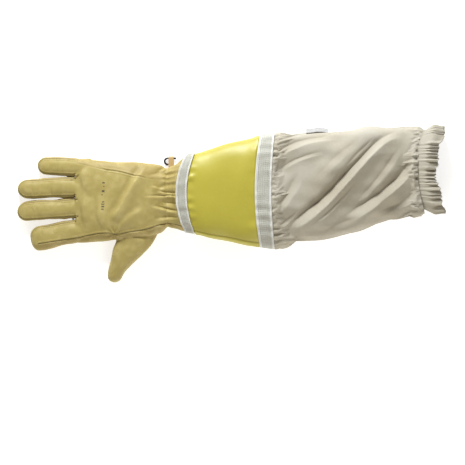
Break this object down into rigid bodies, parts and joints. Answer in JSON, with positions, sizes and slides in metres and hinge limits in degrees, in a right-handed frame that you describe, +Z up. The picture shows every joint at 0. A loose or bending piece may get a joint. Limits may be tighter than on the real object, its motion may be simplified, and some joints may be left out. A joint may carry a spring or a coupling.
{
  "type": "beekeeping glove",
  "caption": "Long beekeeping glove for the right hand: leather hand, wide smooth forearm band and gathered canvas sleeve, lying palm down.",
  "frame": {"origin": "centre of the glove's footprint, on the surface that it lies on", "axes": "+X from the fingertips to the sleeve opening, +Y to the little-finger side, +Z up from the palm to the back of the hand"},
  "size_m": [0.6434, 0.2349, 0.0599],
  "materials": {
    "leather_back": "smooth pale yellow-tan goatskin, soft sheen",
    "leather_palm": "smooth pale yellow-tan goatskin, a little darker",
    "vinyl": "smooth yellow coated cloth, satin",
    "white_tape": "white woven binding tape",
    "elastic": "white knitted elastic webbing",
    "canvas": "cream cotton canvas, plain weave",
    "label": "plain white satin label",
    "black_metal": "black coated wire"
  },
  "bodies": {
    "gauntlet": {"cuff_back": "leather_back", "cuff_palm": "leather_palm", "wrist_elastic": "elastic", "hang_loop": "leather_palm", "cuff_tape": "white_tape", "forearm_band": "vinyl", "webbing": "elastic", "canvas_sleeve": "canvas", "hem_channel": "canvas", "hem_elastic": "elastic", "sleeve_label": "label"},
    "hand": {"hand_back": "leather_back", "hand_palm": "leather_palm"},
    "little_base": {"little_back_base": "leather_back", "little_palm_base": "leather_palm", "little_sides_base": "leather_palm"},
    "little_tip": {"little_back_tip": "leather_back", "little_palm_tip": "leather_palm", "little_sides_tip": "leather_palm"},
    "ring_base": {"ring_back_base": "leather_back", "ring_palm_base": "leather_palm", "ring_sides_base": "leather_palm"},
    "ring_tip": {"ring_back_tip": "leather_back", "ring_palm_tip": "leather_palm", "ring_sides_tip": "leather_palm"},
    "middle_base": {"middle_back_base": "leather_back", "middle_palm_base": "leather_palm", "middle_sides_base": "leather_palm"},
    "middle_tip": {"middle_back_tip": "leather_back", "middle_palm_tip": "leather_palm", "middle_sides_tip": "leather_palm"},
    "index_base": {"index_back_base": "leather_back", "index_palm_base": "leather_palm", "index_sides_base": "leather_palm"},
    "index_tip": {"index_back_tip": "leather_back", "index_palm_tip": "leather_palm", "index_sides_tip": "leather_palm"},
    "thumb_base": {"thumb_back_base": "leather_back", "thumb_palm_base": "leather_palm"},
    "thumb_tip": {"thumb_back_tip": "leather_back", "thumb_palm_tip": "leather_palm"},
    "clip": {"clip_hook": "black_metal"}
  },
  "joints": [
    {"name": "wrist_bend", "type": "hinge", "parent": "gauntlet", "child": "hand", "pos_m": [-0.10325, 0.0115, 0.016], "axis": [0, -1, 0], "range_deg": [-35, 35]},
    {"name": "little_knuckle", "type": "hinge", "parent": "hand", "child": "little_base", "pos_m": [-0.23325, 0.0555, 0.007], "axis": [0, -1, 0], "range_deg": [0, 80]},
    {"name": "little_middle_joint", "type": "hinge", "parent": "little_base", "child": "little_tip", "pos_m": [-0.26109, 0.05646, 0.007], "axis": [0, -1, 0], "range_deg": [0, 80]},
    {"name": "ring_knuckle", "type": "hinge", "parent": "hand", "child": "ring_base", "pos_m": [-0.23325, 0.02538, 0.007], "axis": [0, -1, 0], "range_deg": [0, 80]},
    {"name": "ring_middle_joint", "type": "hinge", "parent": "ring_base", "child": "ring_tip", "pos_m": [-0.27087, 0.02409, 0.007], "axis": [0, -1, 0], "range_deg": [0, 80]},
    {"name": "middle_knuckle", "type": "hinge", "parent": "hand", "child": "middle_base", "pos_m": [-0.23325, -0.00625, 0.007], "axis": [0, -1, 0], "range_deg": [0, 80]},
    {"name": "middle_middle_joint", "type": "hinge", "parent": "middle_base", "child": "middle_tip", "pos_m": [-0.27131, -0.0084, 0.007], "axis": [0, -1, 0], "range_deg": [0, 80]},
    {"name": "index_knuckle", "type": "hinge", "parent": "hand", "child": "index_base", "pos_m": [-0.23325, -0.03837, 0.007], "axis": [0, -1, 0], "range_deg": [0, 80]},
    {"name": "index_middle_joint", "type": "hinge", "parent": "index_base", "child": "index_tip", "pos_m": [-0.26568, -0.04355, 0.007], "axis": [0, -1, 0], "range_deg": [0, 80]},
    {"name": "thumb_knuckle", "type": "hinge", "parent": "hand", "child": "thumb_base", "pos_m": [-0.14625, -0.0545, 0.007], "axis": [1, 0, 0], "range_deg": [0, 50]},
    {"name": "thumb_middle_joint", "type": "hinge", "parent": "thumb_base", "child": "thumb_tip", "pos_m": [-0.16635, -0.086, 0.007], "axis": [1, 0, 0], "range_deg": [0, 50]},
    {"name": "clip_swing", "type": "hinge", "parent": "gauntlet", "child": "clip", "pos_m": [-0.09645, 0.0685, 0.0026], "axis": [-1, 0, 0], "range_deg": [0, 170]}
  ]
}
